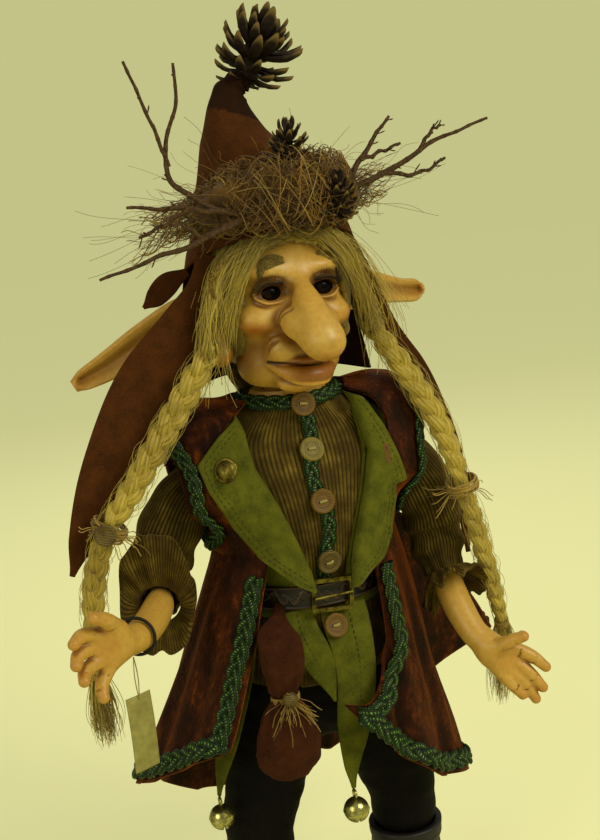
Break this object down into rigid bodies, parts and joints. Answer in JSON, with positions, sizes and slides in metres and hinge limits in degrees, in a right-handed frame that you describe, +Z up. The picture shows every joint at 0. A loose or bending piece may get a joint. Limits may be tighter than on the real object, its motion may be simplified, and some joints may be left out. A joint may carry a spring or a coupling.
{
  "type": "porcelain doll",
  "caption": "Standing porcelain elf doll with a jointed stuffed body, layered felt, velvet and corduroy clothes, and a pointed hat dressed with cones and twigs.",
  "frame": {"origin": "on the ground, midway between the boots and under the neck", "axes": "+Z up, the doll faces -Y, its left hand is on +X"},
  "size_m": [0.3267, 0.1882, 0.6144],
  "materials": {
    "porcelain": "satin bisque, washed with colour",
    "glass_eye": "clear glass over a dark iris",
    "mohair": "combed mohair",
    "brown_felt": "felt",
    "dark_felt": "felt",
    "green_felt": "wool felt",
    "corduroy": "wide-wale corduroy",
    "rust_velvet": "velvet",
    "black_velvet": "velvet",
    "metallic_braid": "gimp braid with metallic threads",
    "dark_leather": "waxed leather",
    "suede": "suede",
    "aged_brass": "aged, brushed on the edges",
    "turned_wood": "oiled",
    "pine_cone": "raw",
    "twig": "bark",
    "moss_and_raffia": "loose plant fibre",
    "stuffing": "cotton cloth over wadding",
    "elastic": "woven elastic cord",
    "card": "uncoated card"
  },
  "bodies": {
    "body": {"torso": "stuffing", "shoulder_plate": "porcelain", "shirt": "corduroy", "shirt_braid": "metallic_braid", "waistcoat": "green_felt", "coat_back": "rust_velvet", "coat_right_front": "rust_velvet", "coat_left_front": "rust_velvet", "coat_right_front_braid": "metallic_braid", "coat_left_front_braid": "metallic_braid", "coat_back_hem_braid": "metallic_braid", "right_lapel": "green_felt", "left_lapel": "green_felt", "belt": "dark_leather", "buckle_frame": "aged_brass", "buckle_prong": "aged_brass", "shirt_button_1": "turned_wood", "shirt_button_2": "turned_wood", "shirt_button_3": "turned_wood", "shirt_button_4": "turned_wood", "breeches": "black_velvet", "shirt_button_5": "turned_wood", "right_armhole_braid": "metallic_braid", "left_armhole_braid": "metallic_braid", "lapel_button": "aged_brass"},
    "head": {"head": "porcelain", "right_eye": "glass_eye", "left_eye": "glass_eye", "wig": "mohair", "right_plait": "mohair", "left_plait": "mohair", "hat": "brown_felt", "hat_right_flap": "brown_felt", "hat_left_flap": "brown_felt", "hat_nape_flap": "dark_felt", "hat_tip_cone": "pine_cone", "front_cone": "pine_cone", "side_cone": "pine_cone", "right_twigs": "twig", "left_twigs": "twig", "nest": "moss_and_raffia", "right_flap_tie": "moss_and_raffia", "left_flap_tie": "moss_and_raffia", "flap_button": "turned_wood"},
    "right_upper_arm": {"right_upper_arm": "stuffing", "right_sleeve": "corduroy"},
    "left_upper_arm": {"left_upper_arm": "stuffing", "left_sleeve": "corduroy"},
    "right_forearm": {"right_forearm_hand": "porcelain", "right_cuff_frill": "corduroy", "bracelet": "elastic"},
    "left_forearm": {"left_forearm_hand": "porcelain", "left_cuff_frill": "corduroy"},
    "right_boot": {"right_boot": "dark_leather"},
    "left_boot": {"left_boot": "dark_leather"},
    "pouch": {"pouch": "suede", "pouch_bead": "turned_wood"},
    "right_bell": {"right_bell": "aged_brass"},
    "left_bell": {"left_bell": "aged_brass"},
    "tag": {"tag": "card"}
  },
  "joints": [
    {"name": "head_turn", "type": "hinge", "parent": "body", "child": "head", "pos_m": [0, -0.003, 0.372], "axis": [0, 0, 1], "range_deg": [-25, 25], "deforming": ["right_plait", "left_plait", "hat_right_flap", "hat_left_flap", "right_flap_tie", "left_flap_tie", "flap_button"]},
    {"name": "right_shoulder", "type": "hinge", "parent": "body", "child": "right_upper_arm", "pos_m": [-0.065, 0, 0.337], "axis": [-1, 0, 0], "range_deg": [0, 22], "deforming": ["right_sleeve"]},
    {"name": "left_shoulder", "type": "hinge", "parent": "body", "child": "left_upper_arm", "pos_m": [0.065, 0, 0.337], "axis": [-1, 0, 0], "range_deg": [0, 22], "deforming": ["left_sleeve"]},
    {"name": "right_elbow", "type": "hinge", "parent": "right_upper_arm", "child": "right_forearm", "pos_m": [-0.093, 0, 0.28], "axis": [-0.9422, 0.3351, 0], "range_deg": [-5, 20]},
    {"name": "left_elbow", "type": "hinge", "parent": "left_upper_arm", "child": "left_forearm", "pos_m": [0.09, 0, 0.268], "axis": [-1, 0, 0], "range_deg": [-5, 40]},
    {"name": "right_knee", "type": "hinge", "parent": "body", "child": "right_boot", "pos_m": [-0.051, 0, 0.09], "axis": [1, 0, 0], "range_deg": [0, 25]},
    {"name": "left_knee", "type": "hinge", "parent": "body", "child": "left_boot", "pos_m": [0.051, 0, 0.09], "axis": [1, 0, 0], "range_deg": [0, 25]},
    {"name": "pouch_swing", "type": "hinge", "parent": "body", "child": "pouch", "pos_m": [-0.0325, -0.038, 0.268], "axis": [-1, 0, 0], "range_deg": [0, 25]},
    {"name": "right_bell_swing", "type": "hinge", "parent": "body", "child": "right_bell", "pos_m": [-0.079, -0.02, 0.1371], "axis": [-1, 0, 0], "range_deg": [-5, 30]},
    {"name": "left_bell_swing", "type": "hinge", "parent": "body", "child": "left_bell", "pos_m": [-0.002, -0.056, 0.1381], "axis": [-1, 0, 0], "range_deg": [-20, 30]},
    {"name": "tag_swing", "type": "hinge", "parent": "right_forearm", "child": "tag", "pos_m": [-0.126, -0.057, 0.259], "axis": [-0.8339, 0.5519, 0], "range_deg": [-3, 30]}
  ]
}
